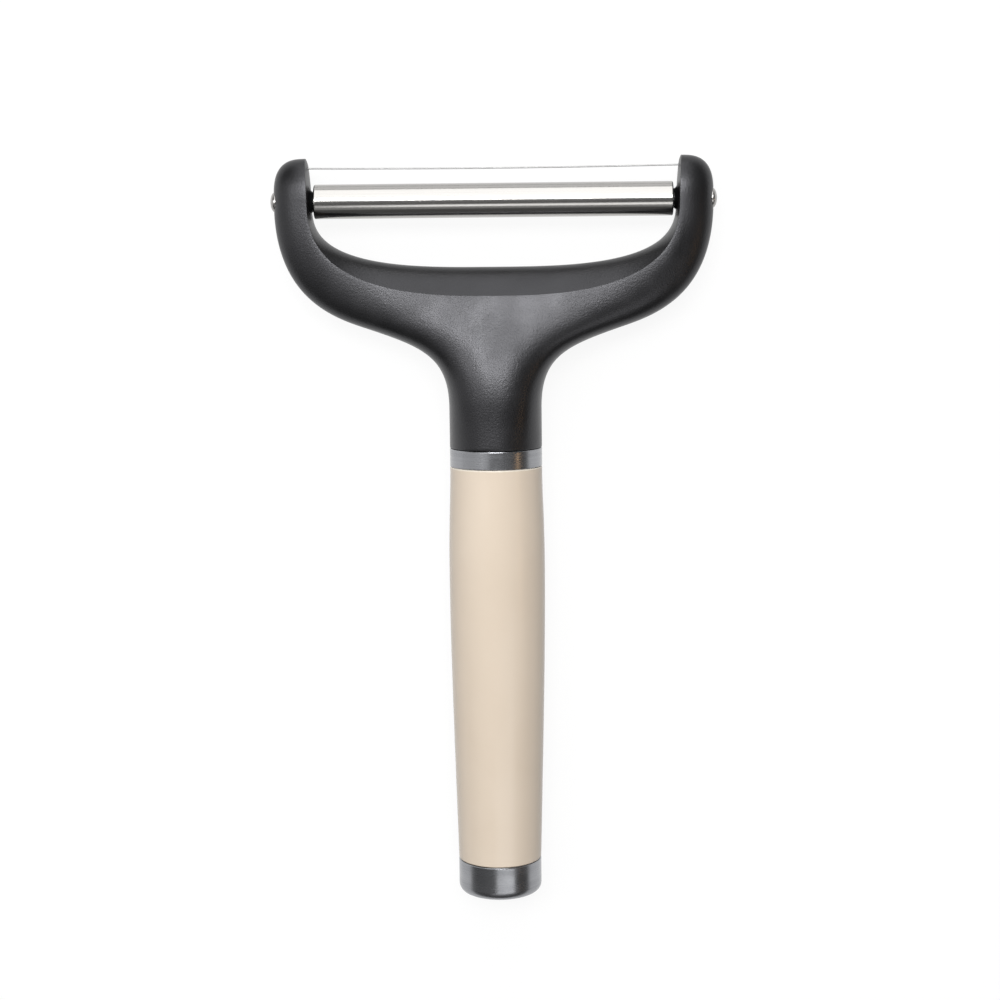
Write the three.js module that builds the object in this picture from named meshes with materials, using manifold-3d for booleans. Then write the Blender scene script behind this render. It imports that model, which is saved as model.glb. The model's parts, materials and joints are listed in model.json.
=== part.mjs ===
// A wire cheese slicer: a moulded yoke holds a taut cutting wire and a free-turning steel roller,
// on a round handle with a steel collar and a steel end cap.
// Millimetres, +Z up. The slicer lies on its back, so +Y runs from the butt to the arm tips and
// +X along the roller. Every piece is modelled about the roller's axis, which passes through the
// local origin, and the finished group is then set down on Z = 0 with its middle over the origin.

import * as THREE from 'three';
import { LoftGeometry } from 'three/addons/geometries/LoftGeometry.js';
import { mergeGeometries, mergeVertices } from 'three/addons/utils/BufferGeometryUtils.js';
import Module from 'manifold-3d';

const wasm = await Module();
wasm.setup();

// Clearances
const seam = 0.1; // between pieces stacked end to end
const fit = 0.2; // round a piece that is pressed or glued in
const runningFit = 0.15; // round the axle, inside the bushes and the arms
const wireFit = 0.25; // round the wire where it runs through a hole
const endPlay = 0.3; // between a roller end and the boss that it runs against

// Roller, bushes, axle and axle caps
const rollerDiameter = 9.7;
const rollerWall = 1;
const rollerChamfer = 0.35;
const bushLength = 9;
const axleDiameter = 3;
const axleCapDiameter = 5.7;
const axleCapRise = 1; // past the arm's outer side
const axleCapSeat = 0.85; // depth of the flat that the cap sits on
const axleCapEdge = 0.45; // straight edge under the dome
const axleCapSocket = 0.8; // how far the axle reaches into the cap

// Cutting wire and its anchors
const wireDiameter = 0.45;
const sliceGap = 4.25; // between the roller and the wire: the thickest slice
const anchorDiameter = 2.4;
const anchorLength = 4;
const anchorDepth = 1.8; // from the arm's inner side to the anchor

// Yoke arms
const headWidth = 124.1; // across the arms' outer sides
const armWidth = 10.35;
const armDepth = 14;
const armBulge = 0.5; // the inner side's ridge stands this far past its edges
const tipOverWire = 2.75;
const tipLean = 0.75; // the inner side leans out by this much at the tip
const tipRound = 0.45; // and its top corner is rounded by this much
const bossHeight = 0.8;
const bossTopDiameter = 5.7;
const bossBaseDiameter = 8.8;
const spotMargin = 0.4; // bare flat round each axle cap

// Yoke saddle, measured down from the axle
const archRise = 1; // the arch springs from the arms this far above the axle
const windowHeight = 13.85; // between the roller and the saddle's ridge
const saddleBevel = 8; // from the ridge down to the front crease
const saddleDepth = 16.5; // across the front and back creases

// Yoke shoulders and neck: two cubic curves that meet on the flank
const shoulderDrop = 1.3; // from the axle to where the outer side starts to turn in
const shoulderPull = 27.4;
const flankHalfWidth = 35.1;
const flankDrop = 9.55; // below the front crease
const flankSlope = 0.34;
const shoulderEase = 9;
const filletEase = 16.3;
const filletPull = 14.35;
const filletDrop = 22.6; // from the flank to the end of the neck's fillet
const neckLength = 11.2; // straight neck above the collar
const neckDiameter = 26.4;

// Roundness of the yoke's curves: 2 is an ellipse, more is squarer
const tipPower = 2.8;
const nosePower = 2.3;
const armPower = 2.3;
const ridgePower = 3.05;
const creasePower = 2.68;
const saddlePower = 3.2;
const neckPower = 2;
const leanPower = 1.4; // how late the lean sets in along the tip
const cornerPower = 12;

// Collar, tang and grip
const collarHeight = 5.2;
const collarChamfer = 0.2;
const tangDiameter = 19.4;
const tangLength = 38; // inside the grip
const tangChamfer = 1;
const gripLength = 115.7;
const bellyDiameter = 27.6;
const bellyDrop = 30; // from the grip's top to its widest place
const bellyEase = 25; // the belly holds its width this far into the taper
const swellEase = 15; // and this far towards the collar
const collarEase = 7.5; // the grip leaves the collar straight for this far
const gripEndDiameter = 24.2;
const taperEase = 30;
const taperLean = 0.75; // how much wider the grip is where the taper eases in
const gripChamfer = 0.25;
const gripWebThickness = 5;
const lowerBoreDiameter = 17;

// End cap, its plug and the screw that holds the tang
const capHeight = 10.1;
const capWall = 0.9;
const capRound = 2.5;
const capChamfer = 0.2;
const plugLength = 14; // of its stem, inside the grip
const screwDiameter = 3.5;
const screwLength = 20; // under the head
const screwPoint = 1.5;
const screwHeadDiameter = 7;
const screwHeadHeight = 2.6;
const screwHeadRound = 1;

// Facets
const tipRings = 6;
const saddleRings = 14;
const neckRings = 8;
const skinColumns = 18;
const wallColumns = 6;
const saddleShare = 0.7; // of the outline's length, from the arms to the saddle's middle
const roundShare = 0.7; // of the neck's length, over which it becomes round
const fillShare = 0.25; // of the saddle's length, where its front starts to swell towards the neck
const blendShare = 0.5; // of the walk, over which the saddle's skin turns into the neck's
const blendSteps = 16;
const handleSides = 40;
const rollerSides = 36;
const axleSides = 20;
const smallSides = 12;
const curveSteps = 8;
const weld = 1e-4;

// Places worked out from the sizes above
const axleRadius = axleDiameter / 2;
const rollerRadius = rollerDiameter / 2;
const wireRadius = wireDiameter / 2;
const armOuter = headWidth / 2;
const armInner = armOuter - armWidth;
const wireY = rollerRadius + sliceGap + wireRadius;
const tipY = wireY + tipOverWire;
const saddleY = -rollerRadius - windowHeight;
const creaseY = saddleY - saddleBevel;
const flankY = creaseY - flankDrop;
const filletY = flankY - filletDrop;
const neckLow = filletY - neckLength;
const neckRadius = neckDiameter / 2;
const collarHigh = neckLow - seam;
const collarLow = collarHigh - collarHeight;
const gripHigh = collarLow - seam;
const gripLow = gripHigh - gripLength;
const tangLow = gripHigh - tangLength;
const webHigh = tangLow - seam;
const webLow = webHigh - gripWebThickness;
const screwSeat = webLow - seam;
const screwTop = screwSeat + screwLength;
const capHigh = gripLow - seam;
const capLow = capHigh - capHeight;
const axleCapFoot = armOuter - axleCapSeat + seam;
const axleEnd = armOuter - axleCapSeat + axleCapSocket;
const rollerHalf = armInner - bossHeight - endPlay;
const anchorNear = armInner + anchorDepth;
const anchorFar = anchorNear + anchorLength;

/** A quarter of a superellipse in the mid-plane, from an arm down to the yoke's middle. */
class QuarterArch extends THREE.Curve {
  constructor(halfWidth, high, low, power) {
    super();
    Object.assign(this, { halfWidth, high, low, power });
  }

  getPoint(t, target = new THREE.Vector2()) {
    const angle = (t * Math.PI) / 2;
    const x = this.halfWidth * Math.abs(Math.cos(angle)) ** (2 / this.power);
    const y = this.high - (this.high - this.low) * Math.sin(angle) ** (2 / this.power);
    return target.set(x, y);
  }
}

/** The closed solid that a geometry's faces bound. */
function solidOf(geometry) {
  const bare = geometry.clone();
  bare.deleteAttribute('normal');
  bare.deleteAttribute('uv');
  const welded = mergeVertices(bare, weld);
  const corners = welded.index.array;
  const triVerts = [];
  for (let i = 0; i < corners.length; i += 3) {
    const [a, b, c] = corners.slice(i, i + 3);
    if (a !== b && b !== c && c !== a) triVerts.push(a, b, c);
  }
  const mesh = new wasm.Mesh({
    numProp: 3,
    vertProperties: welded.attributes.position.array,
    triVerts: new Uint32Array(triVerts),
  });
  return new wasm.Manifold(mesh);
}

/** A geometry with a solid's faces. */
function geometryOf(solid) {
  const { vertProperties, triVerts } = solid.getMesh();
  const geometry = new THREE.BufferGeometry();
  geometry.setAttribute('position', new THREE.BufferAttribute(vertProperties, 3));
  geometry.setIndex(new THREE.BufferAttribute(triVerts, 1));
  geometry.computeVertexNormals();
  return geometry;
}

/** A round piece about the handle's axis. Its facets touch the radius, and one lies at the very back. */
function revolve(path, sides, steps = curveSteps) {
  const half = Math.PI / sides;
  const widen = 1 / Math.cos(half);
  return new THREE.LatheGeometry(path.getPoints(steps), sides, half).scale(widen, 1, widen);
}

/** Lays a round piece along the roller's axis: side 1 points it to +X and side -1 to -X. */
function alongX(geometry, side = 1) {
  return geometry.rotateZ((-side * Math.PI) / 2);
}

/** A solid disc's profile between two heights, from the axis to the axis. */
function discProfile(radius, low, high) {
  return new THREE.Path().moveTo(0, low).lineTo(radius, low).lineTo(radius, high).lineTo(0, high);
}

/** A ring's closed profile with chamfered outer edges. */
function ringProfile(inner, outer, low, high, chamfer = 0) {
  const path = new THREE.Path().moveTo(inner, low).lineTo(outer - chamfer, low);
  path.lineTo(outer, low + chamfer).lineTo(outer, high - chamfer);
  path.lineTo(outer - chamfer, high).lineTo(inner, high);
  path.closePath();
  return path;
}

/** A rod along X, as a solid to cut or join. */
function rodSolid(radius, from, to, y, sides) {
  const rod = alongX(revolve(discProfile(radius, Math.min(from, to), Math.max(from, to)), sides));
  return solidOf(rod.translate(0, y, 0));
}

/** A geometry mirrored to the other side of the middle. */
function mirrored(geometry) {
  const other = new THREE.BufferGeometry().copy(geometry).scale(-1, 1, 1);
  const order = other.index.array;
  for (let i = 0; i < order.length; i += 3) [order[i + 1], order[i + 2]] = [order[i + 2], order[i + 1]];
  return other;
}

/** The yoke's outer side in the mid-plane, from the arm down over the shoulder to the collar. */
function outlineCurve() {
  const lean = new THREE.Vector2(1, flankSlope).normalize();
  const shoulder = new THREE.Vector2(armOuter, -shoulderDrop);
  const flank = new THREE.Vector2(flankHalfWidth, flankY);
  const fillet = new THREE.Vector2(neckRadius, filletY);
  const shoulderHold = shoulder.clone().setY(shoulder.y - shoulderPull);
  const flankOut = flank.clone().addScaledVector(lean, shoulderEase);
  const flankIn = flank.clone().addScaledVector(lean, -filletEase);
  const filletHold = fillet.clone().setY(fillet.y + filletPull);
  const outline = new THREE.CurvePath();
  outline.add(new THREE.LineCurve(new THREE.Vector2(armOuter, archRise), shoulder));
  outline.add(new THREE.CubicBezierCurve(shoulder, shoulderHold, flankOut, flank));
  outline.add(new THREE.CubicBezierCurve(flank, flankIn, filletHold, fillet));
  outline.add(new THREE.LineCurve(fillet, new THREE.Vector2(neckRadius, neckLow)));
  return outline;
}

/** A smooth step from 0 to 1. */
function ease(share) {
  return THREE.MathUtils.smoothstep(share, 0, 1);
}

/** The front crease of the saddle, from an arm to the middle. */
const creaseArch = new QuarterArch(armInner + armBulge, archRise, creaseY, creasePower);

/** The crease from the arm (walk 0) to the saddle's middle (1), then the middle line to the collar (2). */
function creaseAt(walk) {
  if (walk < 1) return creaseArch.getPointAt(walk);
  return new THREE.Vector2(0, THREE.MathUtils.lerp(creaseY, neckLow, walk - 1));
}

/** The crease averaged over a stretch of the walk, so that the skin has no fold beside the neck. */
function creaseOver(walk, spread) {
  const reach = Math.min(spread, walk, 2 - walk);
  const place = new THREE.Vector2();
  for (let k = 0; k < blendSteps; k++) place.add(creaseAt(walk + reach * ((2 * k + 1) / blendSteps - 1)));
  return place.divideScalar(blendSteps);
}

/** How far the front swells towards the neck, at a drop below its crease. */
function neckSwell(drop) {
  const share = THREE.MathUtils.clamp(drop / (creaseY - neckLow) / roundShare, 0, 1);
  return ((neckRadius - saddleDepth / 2) * (ease(share) + share * (2 - share))) / 2;
}

/** How square the skin's sections are: rounded arms, a flatter saddle and a round neck. */
function powerAt(walk) {
  if (walk < 1) return THREE.MathUtils.lerp(armPower, saddlePower, ease(walk));
  return THREE.MathUtils.lerp(saddlePower, neckPower, ease(walk - 1));
}

/**
 * The right half's sections from the arm tip to the collar. Each runs from the ridge in the
 * mid-plane to the crease at half the section's depth, and from there round to the rim.
 */
function yokeSections() {
  const ridgeArch = new QuarterArch(armInner, archRise, saddleY, ridgePower);
  const outline = outlineCurve();
  const sections = [];
  for (let k = 0; k < tipRings; k++) {
    const angle = ((1 - k / tipRings) * Math.PI) / 2;
    const rise = Math.sin(angle) ** (2 / tipPower);
    const reach = Math.abs(Math.cos(angle)) ** (2 / tipPower);
    const thick = (1 - rise ** nosePower) ** (1 / nosePower);
    const inner = armInner + tipLean * rise ** leanPower + tipRound * rise ** cornerPower;
    const y = THREE.MathUtils.lerp(archRise, tipY, rise);
    sections.push({
      ridge: new THREE.Vector2(inner, y),
      crease: new THREE.Vector2(inner + armBulge * thick, y),
      rim: new THREE.Vector2(THREE.MathUtils.lerp(armInner + tipLean + tipRound, armOuter, reach), y),
      depth: (armDepth / 2) * thick,
      power: armPower,
    });
  }
  for (let k = 0; k <= saddleRings + neckRings; k++) {
    const walk = k <= saddleRings ? k / saddleRings : 1 + (k - saddleRings) / neckRings;
    const saddle = Math.min(walk, 1);
    sections.push({
      walk,
      ridge: ridgeArch.getPointAt(saddle),
      crease: creaseAt(walk),
      rim: outline.getPoint(saddle * saddleShare + (walk - saddle) * (1 - saddleShare)),
      depth: THREE.MathUtils.lerp(armDepth, saddleDepth, ease(saddle)) / 2,
      power: powerAt(walk),
    });
  }
  const end = new THREE.Vector2(0, neckLow);
  sections.push({ crease: end, rim: end, depth: 0, power: neckPower });
  return sections;
}

/** A section's skin from the back crease over the rim to the front crease. */
function skinRow({ walk, crease, rim, depth, power }) {
  const fill = walk === undefined ? 0 : ease((walk - fillShare) / (1 - fillShare));
  const edge = Math.max(crease.y, creaseY);
  const row = [];
  for (let k = 0; k <= skinColumns; k++) {
    const angle = (k / skinColumns) * Math.PI;
    const share = Math.abs(Math.sin(angle)) ** (2 / power);
    const lift = -Math.sign(Math.cos(angle)) * Math.abs(Math.cos(angle)) ** (2 / power);
    const from = walk === undefined ? crease.clone() : creaseOver(walk, blendShare * share);
    const { x, y } = from.lerp(rim, share);
    row.push(new THREE.Vector3(x, y, (depth + fill * neckSwell(edge - y)) * lift));
  }
  return row;
}

/** A section's inner wall from the front crease over the ridge to the back crease. */
function wallRow({ ridge, crease, depth }) {
  const row = [];
  for (let k = 0; k <= wallColumns; k++) {
    const lift = 1 - (2 * k) / wallColumns;
    const { x, y } = ridge.clone().lerp(crease, lift * lift);
    row.push(new THREE.Vector3(x, y, depth * lift));
  }
  return row;
}

/** The moulded yoke: arms, saddle and neck in one loft, with its tang, bosses and holes. */
function headYoke() {
  const sections = yokeSections();
  const walled = sections.slice(0, tipRings + saddleRings + 1);
  const skin = new LoftGeometry(sections.map(skinRow), { closed: false });
  const wall = new LoftGeometry(walled.map(wallRow), { closed: false });
  let body = solidOf(mergeGeometries([skin, wall, mirrored(skin), mirrored(wall)]));
  body = body.add(solidOf(revolve(tangProfile(), handleSides)));
  const spotRadius = axleCapDiameter / 2 + spotMargin;
  const pocketRadius = anchorDiameter / 2 + fit;
  for (const side of [-1, 1]) {
    const inside = side * rollerHalf;
    const outside = side * (armOuter + axleCapRise);
    const spot = side * (armOuter - axleCapSeat);
    const pocketEnd = side * (anchorFar + fit);
    const pocketMouth = side * (anchorNear - fit);
    body = body.add(solidOf(alongX(revolve(bossProfile(), axleSides), side)));
    body = body.subtract(rodSolid(axleRadius + runningFit, inside, outside, 0, axleSides));
    body = body.subtract(rodSolid(spotRadius, spot, outside, 0, axleSides));
    body = body.subtract(rodSolid(wireRadius + wireFit, inside, pocketEnd, wireY, smallSides));
    body = body.subtract(rodSolid(pocketRadius, pocketMouth, pocketEnd, wireY, smallSides));
  }
  const pilot = discProfile(screwDiameter / 2 + fit, tangLow - fit, screwTop + fit);
  return geometryOf(body.subtract(solidOf(revolve(pilot, smallSides))));
}

/** The tang under the neck, with a chamfered end. */
function tangProfile() {
  const radius = tangDiameter / 2;
  const path = new THREE.Path().moveTo(0, tangLow).lineTo(radius - tangChamfer, tangLow);
  return path.lineTo(radius, tangLow + tangChamfer).lineTo(radius, filletY).lineTo(0, filletY);
}

/** The cone on an arm's inner side that the roller runs against, rooted in the arm. */
function bossProfile() {
  const base = bossBaseDiameter / 2;
  const top = bossTopDiameter / 2;
  const root = armInner + armBulge + bossHeight;
  const path = new THREE.Path().moveTo(0, armInner - bossHeight).lineTo(top, armInner - bossHeight);
  return path.lineTo(base, armInner).lineTo(base, root).lineTo(0, root);
}

/** The rolled steel tube that the cheese runs on. */
function rollerSleeve() {
  const bore = rollerRadius - rollerWall;
  const profile = ringProfile(bore, rollerRadius, -rollerHalf, rollerHalf, rollerChamfer);
  return alongX(revolve(profile, rollerSides));
}

/** A bush in one end of the roller, level with the tube's end. */
function rollerBush(side) {
  const bore = axleRadius + runningFit;
  const outer = rollerRadius - rollerWall - fit;
  const profile = ringProfile(bore, outer, rollerHalf - bushLength, rollerHalf);
  return alongX(revolve(profile, axleSides), side);
}

/** The rod through both arms and the roller. */
function rollerAxle() {
  return alongX(revolve(discProfile(axleRadius, -axleEnd, axleEnd), axleSides));
}

/** A domed cap on one end of the axle, with a blind socket for the rod. */
function axleCap(side) {
  const radius = axleCapDiameter / 2;
  const socket = axleRadius + runningFit;
  const socketEnd = axleEnd + seam;
  const shoulder = axleCapFoot + axleCapEdge;
  const dome = armOuter + axleCapRise - shoulder;
  const path = new THREE.Path().moveTo(0, socketEnd).lineTo(socket, socketEnd).lineTo(socket, axleCapFoot);
  path.lineTo(radius, axleCapFoot).lineTo(radius, shoulder);
  path.absellipse(0, shoulder, radius, dome, 0, Math.PI / 2, false);
  return alongX(revolve(path, axleSides, curveSteps / 2), side);
}

/** The taut wire, which ends inside its anchors. */
function cuttingWire() {
  const wire = revolve(discProfile(wireRadius, -anchorFar, anchorFar), smallSides);
  return alongX(wire).translate(0, wireY, 0);
}

/** The crimped sleeve on one end of the wire, moulded into the arm. */
function wireAnchor(side) {
  const profile = ringProfile(wireRadius + wireFit, anchorDiameter / 2, anchorNear, anchorFar);
  return alongX(revolve(profile, smallSides), side).translate(0, wireY, 0);
}

/** The steel collar between the neck and the grip. */
function neckCollar() {
  const profile = ringProfile(tangDiameter / 2 + fit, neckRadius, collarLow, collarHigh, collarChamfer);
  return revolve(profile, handleSides);
}

/** The moulded grip: a full belly, a long taper and a web inside that the screw pulls on. */
function handleGrip() {
  const bellyY = gripHigh - bellyDrop;
  const belly = bellyDiameter / 2;
  const end = gripEndDiameter / 2;
  const top = gripHigh - gripChamfer;
  const hole = screwDiameter / 2 + fit;
  const bore = tangDiameter / 2 + fit;
  const lowerBore = lowerBoreDiameter / 2;
  const path = new THREE.Path().moveTo(end - gripChamfer, gripLow).lineTo(end, gripLow + gripChamfer);
  path.bezierCurveTo(end + taperLean, gripLow + taperEase, belly, bellyY - bellyEase, belly, bellyY);
  path.bezierCurveTo(belly, bellyY + swellEase, neckRadius, top - collarEase, neckRadius, top);
  path.lineTo(neckRadius - gripChamfer, gripHigh).lineTo(bore, gripHigh).lineTo(bore, webHigh);
  path.lineTo(hole, webHigh).lineTo(hole, webLow).lineTo(lowerBore, webLow).lineTo(lowerBore, gripLow);
  path.closePath();
  return revolve(path, handleSides);
}

/** The drawn steel cup on the butt. */
function endCap() {
  const outer = gripEndDiameter / 2;
  const inner = outer - capWall;
  const corner = capLow + capRound;
  const path = new THREE.Path().moveTo(0, capLow).lineTo(outer - capRound, capLow);
  path.absarc(outer - capRound, corner, capRound, -Math.PI / 2, 0, false);
  path.lineTo(outer, capHigh - capChamfer).lineTo(outer - capChamfer, capHigh);
  path.lineTo(inner, capHigh).lineTo(inner, corner);
  path.absarc(outer - capRound, corner, capRound - capWall, 0, -Math.PI / 2, true);
  path.lineTo(0, capLow + capWall);
  return revolve(path, handleSides, curveSteps / 2);
}

/** The plug that fills the cup and is pressed into the grip's lower bore. */
function capPlug() {
  const flange = gripEndDiameter / 2 - capWall - fit;
  const stem = lowerBoreDiameter / 2 - fit;
  const floor = capLow + capWall + fit;
  const round = capRound - capWall;
  const path = new THREE.Path().moveTo(0, floor).lineTo(flange - round, floor);
  path.absarc(flange - round, floor + round, round, -Math.PI / 2, 0, false);
  path.lineTo(flange, capHigh).lineTo(stem, capHigh);
  path.lineTo(stem, capHigh + plugLength).lineTo(0, capHigh + plugLength);
  return revolve(path, handleSides, curveSteps / 4);
}

/** The screw that draws the tang, the collar and the grip together. */
function tangScrew() {
  const head = screwHeadDiameter / 2;
  const shank = screwDiameter / 2;
  const headLow = screwSeat - screwHeadHeight;
  const path = new THREE.Path().moveTo(0, headLow).lineTo(head - screwHeadRound, headLow);
  path.absarc(head - screwHeadRound, headLow + screwHeadRound, screwHeadRound, -Math.PI / 2, 0, false);
  path.lineTo(head, screwSeat).lineTo(shank, screwSeat);
  path.lineTo(shank, screwTop - screwPoint).lineTo(0, screwTop);
  return revolve(path, axleSides, curveSteps / 4);
}

/** One named piece with a material of its own. */
function piece(name, geometry, color, roughness, metalness) {
  const material = new THREE.MeshStandardMaterial({ color, roughness, metalness });
  const mesh = new THREE.Mesh(geometry, material);
  mesh.name = name;
  return mesh;
}

const slicer = new THREE.Group();
slicer.add(piece('head_yoke', headYoke(), 0x222325, 0.45, 0));
slicer.add(piece('cutting_wire', cuttingWire(), 0xc4c6c8, 0.25, 1));
slicer.add(piece('roller_sleeve', rollerSleeve(), 0xd0d0ce, 0.12, 1));
slicer.add(piece('roller_axle', rollerAxle(), 0xbfc1c3, 0.3, 1));
for (const [label, side] of [['left', -1], ['right', 1]]) {
  slicer.add(piece(`roller_bush_${label}`, rollerBush(side), 0x2a2b2c, 0.5, 0));
  slicer.add(piece(`axle_cap_${label}`, axleCap(side), 0xcfd0d0, 0.18, 1));
  slicer.add(piece(`wire_anchor_${label}`, wireAnchor(side), 0xa8a9aa, 0.4, 1));
}
slicer.add(piece('neck_collar', neckCollar(), 0xb4b6b9, 0.28, 1));
slicer.add(piece('handle_grip', handleGrip(), 0xe3d3bf, 0.2, 0));
slicer.add(piece('end_cap', endCap(), 0xb4b6b9, 0.28, 1));
slicer.add(piece('cap_plug', capPlug(), 0x2a2b2c, 0.5, 0));
slicer.add(piece('tang_screw', tangScrew(), 0xa8a9aa, 0.35, 1));

// Set the slicer down with its lowest place on Z = 0 and its middle over the origin
const extent = new THREE.Box3().setFromObject(slicer);
const middle = extent.getCenter(new THREE.Vector3());
slicer.position.set(-middle.x, -middle.y, -extent.min.z);

export default slicer;
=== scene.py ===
"""A wire cheese slicer with a free-turning roller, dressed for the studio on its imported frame.

The slicer lies on its back: +Y runs from the butt to the arm tips, +X along the roller, +Z up.
Every piece is shaped in millimetres about the roller's axis and is then set down in the frame,
in metres.
"""

import json
import logging
import math
from abc import ABC, abstractmethod
from bisect import bisect_right
from collections.abc import Callable, Sequence
from dataclasses import dataclass
from enum import Enum
from itertools import accumulate, pairwise

import bmesh
import bpy
from bpy.types import ID, Material, Node, NodeSocket, NodeTree, Object
from mathutils import Matrix, Vector
from mathutils.geometry import interpolate_bezier


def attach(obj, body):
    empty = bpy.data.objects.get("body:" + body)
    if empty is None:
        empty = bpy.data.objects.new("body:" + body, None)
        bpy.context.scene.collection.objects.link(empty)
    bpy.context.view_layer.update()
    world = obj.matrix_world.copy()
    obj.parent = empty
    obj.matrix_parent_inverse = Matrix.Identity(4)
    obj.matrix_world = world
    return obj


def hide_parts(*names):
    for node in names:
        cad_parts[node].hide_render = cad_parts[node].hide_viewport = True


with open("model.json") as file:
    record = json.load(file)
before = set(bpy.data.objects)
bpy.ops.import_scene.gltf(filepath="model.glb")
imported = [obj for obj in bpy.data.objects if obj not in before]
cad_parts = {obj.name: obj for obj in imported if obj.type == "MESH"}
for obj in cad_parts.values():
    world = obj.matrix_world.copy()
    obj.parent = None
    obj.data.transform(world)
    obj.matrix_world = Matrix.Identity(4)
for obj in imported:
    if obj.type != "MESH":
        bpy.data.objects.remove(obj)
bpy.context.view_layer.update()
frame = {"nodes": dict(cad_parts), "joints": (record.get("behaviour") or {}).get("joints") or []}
AXLE = Vector(frame["joints"][0]["pos_m"])
MILLIMETRE = 0.001
SETTING = Matrix.Translation(AXLE) @ Matrix.Scale(MILLIMETRE, 4)
WELD = 1e-4
STAY = 0.08
OVERRUN = 2.0
EDGE_SHARE = 1e-4
TRUE_ROUND = 0.5
ARC_SEGMENTS = 5
ARCH_POINTS = 720
CURVE_POINTS = 400
CREASE_POINTS = 1600
WALK_END = 2.0
CREASE_MARK = 1
RIM_MARK = 2
MIX_INPUTS = (0, 6, 7)
MIX_OUTPUT = 2
FLAT_ANGLE = math.radians(12)
SHARP_ANGLE = math.radians(42)

Colour = tuple[float, float, float]
log = logging.getLogger("slicer")


class Body(Enum):
    """A body of the frame that pieces ride on."""

    SLICER = "slicer"
    ROLLER = "roller"


class Slot(Enum):
    """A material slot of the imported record."""

    BLACK_NYLON = "black_nylon"
    WIRE_STEEL = "wire_steel"
    FIXING_STEEL = "fixing_steel"
    ROLLER_STEEL = "roller_steel"
    BUSH_PLASTIC = "bush_plastic"
    CAP_STEEL = "cap_steel"
    SATIN_STEEL = "satin_steel"
    CREAM_PLASTIC = "cream_plastic"


class Side(Enum):
    """A side of the slicer, seen from its front."""

    LEFT = -1
    RIGHT = 1


class Turning(Enum):
    """The line that a round piece is turned about."""

    ROLLER = (1.0, 0.0, 0.0)
    HANDLE = (0.0, 1.0, 0.0)

    def point(self, along: float, radius: float) -> Vector:
        """A point of a profile, at a place along the line and a distance from it."""
        return Vector((along, radius, 0.0) if self is Turning.ROLLER else (radius, along, 0.0))


class Joining(Enum):
    """How one shape is worked into another."""

    ADD = "UNION"
    CUT = "DIFFERENCE"


Finishes = dict[Slot, Material]


def mix(low: float, high: float, share: float) -> float:
    """The value that lies a share of the way from low to high."""
    return low + (high - low) * share


def ease(share: float) -> float:
    """A share from 0 to 1 that starts and ends gently."""
    share = min(max(share, 0.0), 1.0)
    return share * share * (3.0 - 2.0 * share)


# Shapes


@dataclass(frozen=True)
class Corner:
    """A corner of a turned profile, with the radius that it is rounded to."""

    along: float
    radius: float
    round: float = 0.0


class Walk:
    """A plane curve that is walked by its length."""

    def __init__(self, points: Sequence[Vector]) -> None:
        """Measures the curve.

        Args:
            points: close-set points along the curve.
        """
        self.points = list(points)
        steps = ((b - a).length for a, b in pairwise(self.points))
        self.reach = list(accumulate(steps, initial=0.0))

    def at(self, share: float) -> Vector:
        """The point at a share of the curve's length.

        Args:
            share: from 0 at the start to 1 at the end.

        Returns:
            The point on the curve.
        """
        goal = min(max(share, 0.0), 1.0) * self.reach[-1]
        index = min(max(bisect_right(self.reach, goal) - 1, 0), len(self.points) - 2)
        span = self.reach[index + 1] - self.reach[index]
        part = (goal - self.reach[index]) / span if span else 0.0
        return self.points[index].lerp(self.points[index + 1], part)


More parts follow.
